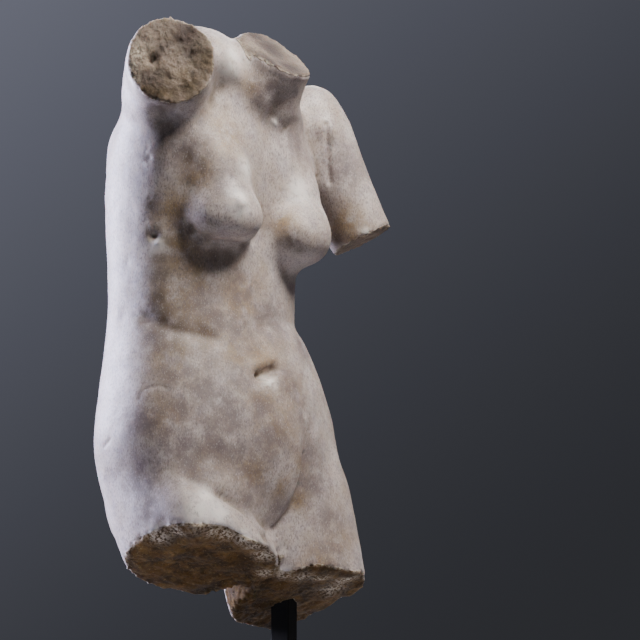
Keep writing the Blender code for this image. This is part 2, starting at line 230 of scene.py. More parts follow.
some_points = points_of(torso)[::400]
print("highest lump:", lumps(some_points, 30 * MM, 3.0).max().round(2))
print("highest crystal face:", crystal_faces(some_points, 8 * MM, 8.0).max().round(2))

# %% [markdown]
# ## Places by line of sight
# A place that is known only in the picture is found on the stone by looking along a line from
# the camera until it meets the skin.

# %% Where a line of sight meets the stone
tree = BVHTree.FromObject(torso, bpy.context.evaluated_depsgraph_get())


def seen_place(tree, across, down):
    """Where the line of sight through a place in the picture meets the stone."""
    start, way = line_of_sight(across, down)
    hit = tree.ray_cast(start, way)[0]
    return np.array(hit if hit else tree.find_nearest(start + way * DISTANCE)[0])


print("the middle of the picture is at", seen_place(tree, PICTURE / 2, PICTURE / 2).round(3))

# %% [markdown]
# ## Where the stone is broken
# Five limbs are gone: the neck, the right arm, the left forearm and both thighs. Each break is a
# rough face across its limb. A point belongs to a break when it lies close to that face and
# looks the way the face does, so the rule needs only a centre, a direction and a radius. The
# neck broke almost flat, the right arm in big lumps, and the thighs in broad brown shells. Here
# and there a flake has left the skin beside a break too, and those places are named one by one.

# %% Find the broken faces
# Centre, direction, radius, how brown, height of its lumps, height of its crystal faces
BREAKS = {
    "neck": ((-0.0044, -0.0774, 0.8862), (-0.157, -0.658, 0.736), 54 * MM, 0.0, 0.6 * MM, 0.5 * MM),
    "right arm": ((-0.1729, -0.0176, 0.8509), (-0.831, -0.523, 0.189), 80 * MM, 0.2, 3.4 * MM, 0.9 * MM),
    "left arm": ((0.1789, -0.1006, 0.6664), (0.220, -0.396, -0.891), 62 * MM, 0.4, 1.5 * MM, 0.9 * MM),
    "right thigh": ((-0.0878, 0.0011, 0.2418), (-0.361, -0.227, -0.904), 115 * MM, 1.0, 4.2 * MM, 1.0 * MM),
    "left thigh": ((0.0814, -0.0527, 0.2095), (-0.197, -0.357, -0.913), 120 * MM, 1.0, 4.0 * MM, 1.2 * MM),
}
BREAK_DEPTH = 16 * MM
# The cosines between which a point comes to look the way of its break
LOOKS_RANGE = (0.35, 0.75)
# Where depth and radius have faded out, and where a flake starts to fade, as shares of their size
FADED_DEPTH, FADED_RADIUS, FLAKE_CORE = 1.5, 1.1, 0.7
# Flaked places beside a break: across and down in the picture, and their reach there
FLAKED = {
    "left thigh": ((238, 603, 28), (238, 590, 25), (252, 592, 14), (346, 590, 12), (262, 582, 6)),
    "right thigh": ((160, 535, 7), (226, 534, 7)),
}
flaked_places = {
    name: [(seen_place(tree, across, down), reach / PICTURE_PER_METRE) for across, down, reach in rows]
    for name, rows in FLAKED.items()
}


def break_shares(obj):
    """For each break, how much each point belongs to it, from 0 to 1."""
    points, normals = points_of(obj), points_of(obj, "normal")
    shares = {}
    for name, (centre, way, radius, *_) in BREAKS.items():
        way = np.array(way) / np.linalg.norm(way)
        off = points - np.array(centre)
        height = off @ way
        across = np.linalg.norm(off - height[:, None] * way, axis=1)
        looks = ease(*LOOKS_RANGE, normals @ way)
        near = 1 - ease(BREAK_DEPTH, BREAK_DEPTH * FADED_DEPTH, np.abs(height))
        inside = 1 - ease(radius, radius * FADED_RADIUS, across)
        share = looks * near * inside
        for place, reach in flaked_places.get(name, ()):
            away = np.linalg.norm(points - place, axis=1)
            share = np.maximum(share, 1 - ease(FLAKE_CORE * reach, reach, away))
        shares[name] = smoothed(obj, share, 2)
    return shares


shares = break_shares(torso)
print("points on each break:", {name: int((share > 0.5).sum()) for name, share in shares.items()})

# %% [markdown]
# ## Finer where it matters
# Broken stone is full of small crystals' edges, far finer than smooth skin. Only the faces at
# the breaks and at small carved details are subdivided once more, so the rest stays light.

# %% The carved lines and spots
# Carved lines: height in mm, below zero for a valley, width in mm, places in the picture
LINES = {
    "navel": (-2.8, 6.0, ((258, 376), (264, 373), (271, 370))),
    "lid over the navel": (2.2, 8.0, ((252, 367), (262, 363), (273, 359))),
    "lip under the navel": (1.6, 5.0, ((266, 385), (271, 382), (277, 377))),
    "left groin": (-3.2, 4.5, (
        (304, 455), (302, 470), (298, 487), (293, 503), (287, 513), (275, 527), (268, 537),
    )),
    "between the thighs": (-1.5, 4.5, ((266, 540), (265, 552), (265, 564))),
    "right groin": (-3.2, 5.5, ((218, 494), (239, 508), (254, 522), (264, 536))),
    "waist crease": (-3.0, 9.0, ((146, 318), (158, 324), (174, 330), (194, 335), (214, 338))),
    "fold under the right breast": (-3.0, 6.5, ((190, 228), (200, 241), (218, 249), (238, 248), (254, 239))),
    "arm against the chest": (-2.8, 4.0, ((326, 124), (328, 146), (328, 164), (330, 182))),
    "sliver below the neck": (2.2, 3.0, ((272, 121), (275, 125))),
    "furrow in the arm's break": (-3.6, 7.0, ((153, 60), (160, 52), (168, 46), (177, 42))),
    "scratch on the flank": (-1.0, 2.4, ((104, 447), (110, 440))),
    "curved scratch": (-0.6, 1.8, ((139, 398), (143, 390), (152, 387), (160, 386), (168, 389))),
    "waist wrinkle": (-0.9, 4.0, ((287, 335), (294, 352), (300, 368))),
}
# Round forms: height in mm, radius in mm, place in the picture
SPOTS = {
    "right nipple": (5.0, 7.0, (240, 204)),
    "right areola": (2.0, 16.0, (239, 207)),
    "left nipple": (2.0, 5.0, (322, 212)),
    "deep end of the navel": (-4.0, 5.0, (258, 375)),
    "hole in the side": (-4.0, 5.5, (154, 236)),
    "hole's lower lip": (1.6, 5.0, (158, 242)),
    "dent near the armpit": (-1.2, 4.0, (149, 158)),
    "armpit": (-9.0, 17.0, (162, 116)),
    "hollow by the armpit": (-3.0, 18.0, (191, 158)),
    "slope of the shoulder": (-8.0, 24.0, (208, 28)),
    "back of the raised shoulder": (-5.0, 24.0, (127, 90)),
    "left hip": (-6.5, 55.0, (328, 415)),
    "pit in the arm's break": (-7.0, 7.0, (152, 59)),
    "boss in the arm's break": (3.0, 12.0, (164, 70)),
    "bitten rim of the thigh": (-5.0, 9.0, (163, 528)),
    "second bite": (-4.0, 8.0, (236, 536)),
    "filled notch between the thighs": (5.0, 8.0, (279, 556)),
}
line_places = {
    name: (height, width, [seen_place(tree, *spot) for spot in spots])
    for name, (height, width, spots) in LINES.items()
}
spot_places = {
    name: (height, radius, seen_place(tree, *spot))
    for name, (height, radius, spot) in SPOTS.items()
}
print("carved lines:", len(line_places), "spots:", len(spot_places))

# %% [markdown]
# A point's distance from a carved line is measured to each straight piece of the line, and the
# nearest counts. Here that says which faces to make finer, and later it shapes the valley.


# %% Distance from a line, and the finer faces
def line_distance(points, path):
    """Each point's distance from a path of straight pieces."""
    nearest = np.full(len(points), np.inf)
    for start, end in zip(path, path[1:]):
        way = end - start
        share = np.clip((points - start) @ way / (way @ way), 0, 1)
        nearest = np.minimum(nearest, np.linalg.norm(points - start - share[:, None] * way, axis=1))
    return nearest


def refine(obj, wanted):
    """Cuts each edge whose two ends are wanted in half, and fills the faces between."""
    bm = bmesh.new()
    bm.from_mesh(obj.data)
    bm.verts.ensure_lookup_table()
    edges = [edge for edge in bm.edges if wanted[edge.verts[0].index] and wanted[edge.verts[1].index]]
    bmesh.ops.subdivide_edges(bm, edges=edges, cuts=1, use_grid_fill=True, smooth=0.0)
    bm.to_mesh(obj.data)
    bm.free()
    obj.data.update()


# The worn stone under the arm and between the thighs is pitted all over
PITTED_PATHS = (
    ((149, 192), (150, 216), (152, 243)),
    ((147, 150), (148, 162)),
    ((286, 518), (279, 532), (276, 542)),
)
PITTED_REACH = 8 * MM
# Lines and spots under these sizes in mm need finer faces, out to a few times their size
FINE_WIDTH, FINE_RADIUS = 8, 15
LINE_REACH, SPOT_REACH, PATH_REACH = 2.5, 1.6, 1.3
LEAST_BROKEN = 0.1
pitted_paths = [[seen_place(tree, *spot) for spot in path] for path in PITTED_PATHS]

points = points_of(torso)
wanted = sum(shares.values()) > LEAST_BROKEN
for _, width, path in line_places.values():
    if width < FINE_WIDTH:
        wanted |= line_distance(points, path) < LINE_REACH * width * MM
for _, radius, place in spot_places.values():
    if radius < FINE_RADIUS:
        wanted |= np.linalg.norm(points - place, axis=1) < SPOT_REACH * radius * MM
for path in pitted_paths:
    wanted |= line_distance(points, path) < PATH_REACH * PITTED_REACH
refine(torso, wanted)
shares = break_shares(torso)
print("points now:", len(torso.data.vertices))

# %% [markdown]
# ## Carve the details
# A carved line is a valley or a ridge whose section is a bell curve, with its full height along
# its path and almost nothing left at twice its width. The navel is a slanted slit under a soft
# lid, the groins are creases, and the holes and scratches are damage that the stone has picked
# up. A few broad spots bring the shoulder, the armpit and the hip closer to the real outline.

# %% Carve lines and spots
points = points_of(torso)
amount = np.zeros(len(points))
for height, width, path in line_places.values():
    amount += height * MM * bell(line_distance(points, path), width * MM)
for height, radius, place in spot_places.values():
    amount += height * MM * bell(np.linalg.norm(points - place, axis=1), radius * MM)
raise_skin(torso, amount)
print("deepest cut:", round(float(amount.min()) / MM, 1), "mm")
print("highest rise:", round(float(amount.max()) / MM, 1), "mm")

# %% [markdown]
# The right breast hangs a little too low. Its underside is lifted as clay would be, with a soft
# push straight up that is strongest in the middle and dies away round it.

# %% Lift the right breast
LIFT, LIFT_REACH = 11 * MM, 33 * MM
LIFT_SPOT = (219, 258)

lift_place = seen_place(tree, *LIFT_SPOT)
points = points_of(torso)
points[:, 2] += LIFT * bell(np.linalg.norm(points - lift_place, axis=1), LIFT_REACH)
torso.data.vertices.foreach_set("co", points.ravel())
torso.data.update()
print("lifted round", lift_place.round(3))

# %% [markdown]
# ## Break the stone
# Each break gets its lumps, as large as a thumb, its crystal faces of a few millimetres, and a
# finer grit on them. The rim of a break is never a clean line: flakes have left it here and
# there, so the rim is pulled in where a slow noise is high, and it crumbles into the same small
# faces. An old brown break has lost more of its rim.

# %% Rough faces and chipped rims
LUMP_SIZE = 30 * MM
CRYSTAL_SIZE = 8 * MM
GRIT_SIZE, GRIT_HEIGHT = 3.6 * MM, 0.5 * MM
CHIP_SIZE, CHIP_DEPTH = 18 * MM, 2.6 * MM
RIM_CRUMBLE = 1.8 * MM
# The noise's values where a chip starts and where it is at full depth
CHIP_RANGE = (-0.1, 0.7)
# How wide the rim is, in rounds of smoothing, and how steeply it falls off
RIM_ROUNDS, RIM_FALL = 5, 1.3
LEAST_SPREAD = 0.02


def rim_share(spread, top):
    """Highest where a break's smoothed share passes one half, which is at its rim."""
    return np.clip(top - np.abs(2 * spread - 1) * RIM_FALL, 0, 1)


points = points_of(torso)
broken = np.clip(sum(shares.values()), 0, 1)
spread = smoothed(torso, broken, RIM_ROUNDS)
rim = rim_share(spread, 1)
near = np.flatnonzero(spread > LEAST_SPREAD)
lump = lumps(points[near], LUMP_SIZE, seed=3.0)
crystal = crystal_faces(points[near], CRYSTAL_SIZE, seed=8.0)
grit = crystal_faces(points[near], GRIT_SIZE, seed=4.0)
chip = ease(*CHIP_RANGE, lumps(points[near], CHIP_SIZE, seed=5.0))
amount = np.zeros(len(points))
for name, share in shares.items():
    how_brown, lump_height, crystal_height = BREAKS[name][3:]
    amount[near] += share[near] * (lump_height * lump + crystal_height * crystal + GRIT_HEIGHT * grit)
    thick_rim = rim[near] * smoothed(torso, share, RIM_ROUNDS)[near] * (1 + how_brown)
    amount[near] += thick_rim * (RIM_CRUMBLE * crystal - CHIP_DEPTH * chip)
raise_skin(torso, amount)
print("points on broken faces:", int((broken > 0.5).sum()))

# %% [markdown]
# ## The worn skin
# The smooth skin isn't a machine's: it was rasped and rubbed by hand, and then weathered. Slow
# waves about half a millimetre high catch the light, and small pits are scattered over it. Under
# the arm and between the thighs the pits lie closer.

# %% Hand-worked waves and pits
WAVE_SIZE, WAVE_HEIGHT = 24 * MM, 0.5 * MM
PIT_SIZE, PIT_DEPTH = 9 * MM, 0.7 * MM
PITTED_SIZE, PITTED_DEPTH = 4.5 * MM, 0.6 * MM
# The noise's values where a pit starts and where it is at full depth
PIT_RANGE, PITTED_RANGE = (0.45, 0.8), (-0.1, 0.6)
LEAST_PITTED = 0.05

points = points_of(torso)
skin = 1 - broken
waves = WAVE_HEIGHT * lumps(points, WAVE_SIZE, seed=12.0)
pits = PIT_DEPTH * ease(*PIT_RANGE, lumps(points, PIT_SIZE, seed=17.0))
pitted = sum(bell(line_distance(points, path), PITTED_REACH) for path in pitted_paths)
worn = np.flatnonzero(pitted > LEAST_PITTED)
close_pits = ease(*PITTED_RANGE, lumps(points[worn], PITTED_SIZE, seed=21.0))
pits[worn] += pitted[worn] * PITTED_DEPTH * close_pits
raise_skin(torso, (waves - pits) * skin)
print("lowest wave:", round(float(waves.min()) / MM, 2), "mm")

# %% [markdown]
# ## What the colour needs to know
# Dirt gathers in hollows and is rubbed off ridges, and the hollows and folds also get painted shade. A
# hollow is where the skin lies below a smoothed copy of itself. That, the broken faces, a few old stains and
# the places of painted shade and painted highlights are stored on the points as named values, so that the
# material can read them and they follow the surface.

# %% Where the stains, painted shade and painted highlights are
# Stains, painted shade and painted highlights: across and down in the picture, and their reach there
STAINS_AND_PAINTED_LIGHT = {
    "ochre": (
        (262, 360, 26), (290, 392, 26), (240, 302, 34), (182, 298, 30), (276, 425, 30), (250, 474, 24),
        (166, 414, 22), (176, 358, 28), (300, 468, 20), (180, 248, 30), (285, 222, 18), (174, 210, 24),
        (196, 176, 22), (224, 136, 26), (206, 470, 20), (345, 222, 22), (320, 566, 24),
        (340, 545, 20), (300, 500, 14), (206, 330, 26), (170, 92, 18), (252, 82, 14), (262, 400, 24),
        (352, 236, 12), (366, 228, 10), (282, 488, 16), (236, 350, 26), (196, 280, 22), (228, 66, 8),
    ),
    # Grey: lichen stains, with painted shade on the lower belly, along the dark band down the flank and on
    # the neck's break
    "grey": (
        (205, 382, 32), (218, 440, 38), (244, 462, 26), (146, 420, 26), (146, 484, 30), (190, 452, 28),
        (304, 412, 22), (156, 336, 22), (298, 140, 32), (270, 322, 28),
        (154, 510, 26), (302, 345, 20), (188, 150, 24), (316, 486, 24), (270, 92, 26), (270, 48, 26),
        (280, 510, 18), (224, 400, 26), (345, 170, 26), (330, 520, 22), (290, 68, 22), (255, 36, 20),
        (240, 330, 26), (240, 376, 22), (270, 440, 30), (330, 555, 22), (182, 410, 26), (186, 34, 22),
        (252, 495, 24), (214, 76, 16), (300, 78, 14), (284, 46, 20), (150, 84, 18),
        (290, 385, 24), (240, 290, 26), (180, 376, 26), (310, 455, 24), (196, 470, 24), (176, 440, 26),
        (232, 412, 26), (200, 440, 26), (262, 408, 22), (214, 320, 24), (204, 300, 24), (224, 184, 22),
    ),
    # Brown: painted shade under the breasts, in the armpit, the waist crease, the dark band down the flank
    # and between the thighs, and darker brown low on the arm's break
    "brown": (
        (162, 106, 22), (168, 120, 18), (190, 228, 10), (202, 243, 11), (216, 253, 11), (232, 253, 10),
        (246, 246, 9), (160, 320, 22), (178, 330, 20), (160, 256, 10), (146, 322, 12),
        (200, 333, 16), (165, 92, 18), (148, 94, 14), (188, 84, 16), (208, 60, 16), (268, 540, 12),
        (190, 157, 10), (201, 163, 9), (162, 240, 11), (159, 276, 13), (158, 300, 13), (292, 241, 9),
        (300, 250, 7), (337, 240, 8), (150, 205, 8),
    ),
    # Rubbed: pale worn places and crumbly rims, with painted highlights on the nipples, the navel's lip, the
    # lit side of the neck, the arm's lit rim and the front of the right thigh
    "rubbed": (
        (241, 197, 9), (240, 209, 9), (219, 514, 15), (200, 512, 16), (206, 496, 10), (270, 382, 8),
        (274, 122, 4), (234, 54, 15), (230, 70, 12), (130, 66, 8), (129, 80, 8), (136, 52, 8), (324, 213, 5),
        (156, 246, 8), (366, 232, 6), (246, 168, 12), (300, 190, 14), (264, 556, 10), (265, 572, 8),
        (158, 536, 10), (176, 533, 7), (214, 532, 8), (228, 535, 10), (243, 539, 8), (254, 547, 8),
        (284, 576, 9), (302, 577, 9), (320, 577, 9), (345, 580, 12), (332, 590, 12),
    ),
}
print("stains:", {name: len(spots) for name, spots in STAINS_AND_PAINTED_LIGHT.items()})

# %% [markdown]
# Every value runs from 0 to 1. Narrow hollows are the carved creases and pits, and wide ones are
# the folds of the body. The sides that the picture doesn't show get broad stains of the same
# kind, from a slow noise.


# %% Hollows, breaks and stains as values on the points
def stain_and_painted_light_values(points, spots):
    """Soft blotches round places on the stone."""
    total = np.zeros(len(points))
    for across, down, reach in spots:
        distance = np.linalg.norm(points - seen_place(tree, across, down), axis=1)
        total = np.maximum(total, bell(distance * PICTURE_PER_METRE, reach))
    return total


def store(obj, name, values):
    """Keeps values on the points under a name that a material can read."""
    layer = obj.data.attributes.new(name, "FLOAT", "POINT")
    layer.data.foreach_set("value", np.clip(values, 0, 1).astype(np.float32))


# Rounds of smoothing for a narrow hollow, a wide one, the rim's colour and the brown of a break
NARROW_ROUNDS, WIDE_ROUNDS, RIM_COLOUR_ROUNDS, BROWN_ROUNDS = 6, 60, 9, 4
# The depths where a hollow or a ridge starts and where it counts in full
NARROW_RANGE = (0.15 * MM, 1.2 * MM)
WIDE_RANGE = (0.5 * MM, 4 * MM)
RIDGE_RANGE = (0.1 * MM, 0.9 * MM)
NARROW_WEIGHT, WIDE_WEIGHT = 0.5, 0.6
RIM_COLOUR_TOP = 1.1

points, normals = points_of(torso), points_of(torso, "normal")
below = ((smoothed(torso, points, NARROW_ROUNDS) - points) * normals).sum(axis=1)
wide_below = ((smoothed(torso, points, WIDE_ROUNDS) - points) * normals).sum(axis=1)
# The hollows get brown dirt and painted shade in the colour, strongest in the folds of the body
hollow = ease(*NARROW_RANGE, below) * NARROW_WEIGHT + ease(*WIDE_RANGE, wide_below) * WIDE_WEIGHT
brownness = sum(share * BREAKS[name][3] for name, share in shares.items()) / np.maximum(broken, 0.001)
store(torso, "hollow", hollow)
store(torso, "ridge", ease(*RIDGE_RANGE, -below))
store(torso, "broken", broken)
store(torso, "rim", rim_share(smoothed(torso, broken, RIM_COLOUR_ROUNDS), RIM_COLOUR_TOP))
store(torso, "brown break", smoothed(torso, brownness, BROWN_ROUNDS))

# Unseen stains: the size and the seed of their noise, and the values where they start and are full
UNSEEN_STAINS = {"ochre": (75 * MM, 31.0), "grey": (60 * MM, 43.0)}
PATCH_RANGE = (-0.5, 0.5)
# The cosines between which a point comes to look away from the camera
UNSEEN_RANGE = (0.0, 0.35)
unseen = ease(*UNSEEN_RANGE, -(normals @ np.array(towards_camera)))
turned_away = np.flatnonzero(unseen > 0)
for name, spots in STAINS_AND_PAINTED_LIGHT.items():
    values = stain_and_painted_light_values(points, spots)
    if name in UNSEEN_STAINS:
        size, seed = UNSEEN_STAINS[name]
        patches = ease(*PATCH_RANGE, lumps(points[turned_away], size, seed, octaves=2))
        values[turned_away] = np.maximum(values[turned_away], unseen[turned_away] * patches)
    store(torso, name, values)
print("hollow points:", int((hollow > 0.5).sum()), "unseen points:", len(turned_away))


# %% [markdown]
# ## Colours and nodes
# Colours are picked as they look on a screen, so one function turns them to the linear light
# that shaders add up. One more adds a node, with its settings and its links in one table.

# %% Helpers for materials
def linear(code):
    """A screen colour such as #d8d0c6, as linear red, green, blue and a full alpha."""
    parts = [int(code[k:k + 2], 16) / 255 for k in (1, 3, 5)]
    return [p / 12.92 if p <= 0.04045 else ((p + 0.055) / 1.055) ** 2.4 for p in parts] + [1.0]


def add_node(tree, kind, settings, output=0):
    """Adds a node and gives an output. A setting is a property, a socket's value or its link."""
    node = tree.nodes.new("ShaderNode" + kind)
    for key, value in settings.items():
        if isinstance(value, bpy.types.NodeSocket):
            tree.links.new(value, node.inputs[key])
        elif isinstance(key, int) or key in node.inputs:
            node.inputs[key].default_value = value
        else:
            setattr(node, key, value)
    return node.outputs[output]


def new_material(name, **sockets):
    """A material, its node tree and its shader, with some of the shader's sockets set by name."""
    material = bpy.data.materials.new(name)
    material.use_nodes = True
    shader = material.node_tree.nodes["Principled BSDF"]
    for key, value in sockets.items():
        shader.inputs[key.replace("_", " ")].default_value = value
    return material, material.node_tree, shader


# The sockets of a mix: its share, two colours, the mixed colour, and two plain numbers
SHARE, UNDER, OVER, MIXED, FIRST, SECOND = 0, 6, 7, 2, 2, 3
print("a middle grey in linear light:", [round(v, 3) for v in linear("#808080")])

# %% [markdown]
# ## Weathered white marble
# This is a fine-grained white statuary marble, carved with rasps and once polished. Centuries in the ground
# gave it a warm skin, with ochre stains, grey lichen stains and dark specks in its pores, and some grey and
# brown coats add painted shade and pale ones painted highlights. Where it broke, the crystals are bare and
# hold brown earth. Light goes a few millimetres into it, which softens its shadows, so it has a little
# subsurface scattering. The colour is laid on in thin uneven coats, as a painter would glaze it: each coat
# has blotches of a real size, and most keep to where a stored value is high.

# %% One coat of colour
marble, marble_tree, shader = new_material(
    "weathered white marble", IOR=1.5, Subsurface_Weight=0.12, Subsurface_Scale=0.004
)
place = add_node(marble_tree, "TexCoord", {}, "Object")
stored = {
    name: add_node(marble_tree, "Attribute", {"attribute_name": name}, "Fac")
    for name in ("hollow", "ridge", "broken", "rim", "brown break", *STAINS_AND_PAINTED_LIGHT)
}


def coat(under, code, strength, size, low, high, where=None, upright=1.0):
    """Lays blotches of a colour over another, and gives the new colour and the blotches' share."""
    stretched = add_node(marble_tree, "Mapping", {"Scale": (1, 1, upright), "Vector": place})
    blotches = add_node(
        marble_tree, "TexNoise", {"Scale": 1 / size, "Detail": 6.0, "Roughness": 0.62, "Vector": stretched}
    )
    cut = {"interpolation_type": "SMOOTHSTEP", "From Min": low, "From Max": high, "To Max": strength}
    share = add_node(marble_tree, "MapRange", {**cut, "Value": blotches})
    if where:
        share = add_node(marble_tree, "Math", {"operation": "MULTIPLY", 0: share, 1: stored[where]})
    mixed = {"data_type": "RGBA", SHARE: share, UNDER: under, OVER: linear(code)}
    return add_node(marble_tree, "Mix", mixed, MIXED), share


print("stored values that the marble reads:", list(stored))

# %% [markdown]
# The skin's coats go from the broad to the fine. Broad patches come first, then the old stains with painted
# shade among them, and the upright marks of the rasp. Brown dirt and painted shade lie in the hollows and
# folds, and pale patches are rubbed marble and painted highlights. The dark specks in the pores go on last,
# and they dent the surface too.

# %% The skin's colour
skin_colour, _ = coat(linear("#b7aba4"), "#cac0bc", 1.0, 60 * MM, 0.4, 0.62)
# Colour, strength, size of the blotches, the noise's values where they start and are full, the
# stored value that they keep to, and the stretch of upright marks
SKIN_COATS = {
    "warm cloud": ("#ab9a86", 0.5, 34 * MM, 0.44, 0.68),
    "cool cloud": ("#9b96a0", 0.4, 26 * MM, 0.46, 0.7),
    "violet mottle": ("#8d7f83", 0.4, 13 * MM, 0.46, 0.7),
    "ochre stain": ("#8f7445", 0.8, 22 * MM, 0.26, 0.6, "ochre"),
    # The grey coat is partly lichen stain and partly painted shade
    "grey stain and painted shade": ("#6b5f60", 0.8, 17 * MM, 0.2, 0.62, "grey"),
    # The brown coat is mostly painted shade in the folds and the dark band, and partly brown dirt
    "brown painted shade and dirt": ("#433119", 0.75, 22 * MM, 0.2, 0.58, "brown"),
    "rasp marks": ("#74696a", 0.7, 1.9 * MM, 0.46, 0.66, None, 0.5),
    "pale grain": ("#efebec", 0.3, 1.5 * MM, 0.54, 0.7, None, 0.6),
    # Brown dirt and painted shade in the creases and folds
    "dirt and painted shade in the hollows": ("#5f4e39", 0.75, 12 * MM, 0.2, 0.55, "hollow"),
    # Pale rubbed marble, and painted highlights
    "rubbed marble and painted highlights": ("#f0ebe6", 0.85, 8 * MM, 0.25, 0.5, "rubbed"),
}
for row in SKIN_COATS.values():
    skin_colour, _ = coat(skin_colour, *row)
skin_colour, specks = coat(skin_colour, "#6f645c", 0.6, 1.7 * MM, 0.6, 0.7)
print("coats on the skin:", len(SKIN_COATS) + 2)

# %% [markdown]
# The broken faces mix two stones. The thighs broke long ago and are brown with earth. The arm's break is
# greyer and the neck's is almost as pale as the skin, under a violet painted shade. On all of them the
# crystals' ridges are pale, the hollows dark with dirt and painted shade, the rims bruised white, and a few
# pale patches are painted highlights.

# %% The breaks' colour
PALE_COATS = {
    "tan": ("#a89a8a", 0.7, 22 * MM, 0.42, 0.62),
    "olive": ("#7b7160", 0.6, 13 * MM, 0.5, 0.66),
    "dark grains": ("#5b5046", 0.6, 3 * MM, 0.5, 0.66),
    # Painted shade on the neck's break and on part of the arm's break, where the grey spots lie
    "violet painted shade": ("#443b3c", 0.92, 20 * MM, 0.1, 0.4, "grey"),
    # Darker and browner low on the arm's break, where the brown spots are
    "dark brown low on the arm's break": ("#3f321a", 0.85, 14 * MM, 0.25, 0.5, "brown"),
}
BROWN_COATS = {
    "dark earth": ("#2c1d07", 0.8, 30 * MM, 0.4, 0.6),
    "ochre earth": ("#7b5d28", 0.6, 16 * MM, 0.5, 0.66),
    "dark grains": ("#1c1103", 0.6, 4 * MM, 0.5, 0.66),
    "pale flecks": ("#a08c60", 0.4, 3 * MM, 0.58, 0.68),
}
pale_colour, brown_colour = linear("#8f8279"), linear("#583d0c")
for row in PALE_COATS.values():
    pale_colour, _ = coat(pale_colour, *row)
for row in BROWN_COATS.values():
    brown_colour, _ = coat(brown_colour, *row)
break_colour = add_node(
    marble_tree, "Mix",
    {"data_type": "RGBA", SHARE: stored["brown break"], UNDER: pale_colour, OVER: brown_colour}, MIXED,
)
SHARED_COATS = {
    # Dirt and painted shade in the breaks' hollows
    "dirt and painted shade in the hollows": ("#2a1e10", 0.8, 9 * MM, 0.2, 0.5, "hollow"),
    "rubbed ridges": ("#998560", 0.35, 9 * MM, 0.42, 0.6, "ridge"),
    "bruised rim": ("#c6baa9", 0.95, 6 * MM, 0.42, 0.54, "rim"),
    # Pale crumbly rims, and painted highlights on the arm's lit rim
    "rubbed marble and painted highlights": ("#cfc3b0", 0.9, 3.5 * MM, 0.42, 0.57, "rubbed"),
}
for row in SHARED_COATS.values():
    break_colour, _ = coat(break_colour, *row)
print("coats on the breaks:", len(PALE_COATS) + len(BROWN_COATS) + len(SHARED_COATS))

# %% [markdown]
# A break's edge is ragged, so the stored share is shaken by a fine noise before it chooses
# between the two colours.

# %% Skin and break together
RAGGED_SIZE = 6 * MM
SHAKE = 0.5

ragged = add_node(marble_tree, "TexNoise", {"Scale": 1 / RAGGED_SIZE, "Detail": 4.0, "Vector": place})
shaken = add_node(marble_tree, "Math", {"operation": "MULTIPLY_ADD", 0: ragged, 1: SHAKE, 2: -SHAKE / 2})
shaken = add_node(marble_tree, "Math", {"operation": "ADD", 0: shaken, 1: stored["broken"]})
break_share = add_node(marble_tree, "MapRange", {"From Min": 0.38, "From Max": 0.62, "Value": shaken})
both = {"data_type": "RGBA", SHARE: break_share, UNDER: skin_colour, OVER: break_colour}
marble_tree.links.new(add_node(marble_tree, "Mix", both, MIXED), shader.inputs["Base Color"])
print("nodes in the marble's colour:", len(marble_tree.nodes))

# %% [markdown]
# The skin keeps a soft gloss that is worn in patches, and broken stone is dull, so the same share
# chooses the roughness. Three reliefs are too fine for the mesh and lie over each other: the
# rasp's upright marks, the pores, and the grain of the breaks.

# %% Gloss and fine grain
GLOSS_PATCH = 40 * MM
GLOSSIEST, DULLEST, BROKEN_DULL = 0.42, 0.64, 0.85
RASP_WIDTH, RASP_STRETCH = 2 * MM, 0.4
GRAIN_SIZE = 5 * MM

worn_gloss = add_node(marble_tree, "TexNoise", {"Scale": 1 / GLOSS_PATCH, "Vector": place})
gloss = add_node(marble_tree, "MapRange", {"To Min": GLOSSIEST, "To Max": DULLEST, "Value": worn_gloss})
gloss = add_node(marble_tree, "Mix", {SHARE: break_share, FIRST: gloss, SECOND: BROKEN_DULL})
marble_tree.links.new(gloss, shader.inputs["Roughness"])

rasped = add_node(marble_tree, "Mapping", {"Scale": (1, 1, RASP_STRETCH), "Vector": place})
rasped = add_node(marble_tree, "TexNoise", {"Scale": 1 / RASP_WIDTH, "Detail": 3.0, "Vector": rasped})
normal = add_node(marble_tree, "Bump", {"Strength": 0.45, "Distance": 0.3 * MM, "Height": rasped})
pores = {"invert": True, "Strength": 0.6, "Distance": 0.5 * MM, "Height": specks, "Normal": normal}
normal = add_node(marble_tree, "Bump", pores)
grain = {"Scale": 1 / GRAIN_SIZE, "Detail": 8.0, "Roughness": 0.75, "Vector": place}
grain = add_node(marble_tree, "TexNoise", grain)
grain = add_node(marble_tree, "Math", {"operation": "MULTIPLY", 0: grain, 1: break_share})
grained = {"Strength": 1.0, "Distance": 2.0 * MM, "Height": grain, "Normal": normal}
marble_tree.links.new(add_node(marble_tree, "Bump", grained), shader.inputs["Normal"])

torso.data.materials.clear()
torso.data.materials.append(marble)
torso.data.shade_smooth()
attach(torso, "root")
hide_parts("torso")
print("marble nodes:", len(marble_tree.nodes))

# %% [markdown]
# ## The steel post and the plinth
# The post is a square steel bar, brush painted satin black. Its solid already has the right corners. The
# paint has a faint orange-peel and is thinner and duller in patches. The plinth is a block painted matt
# black, with a roller's fine stipple.


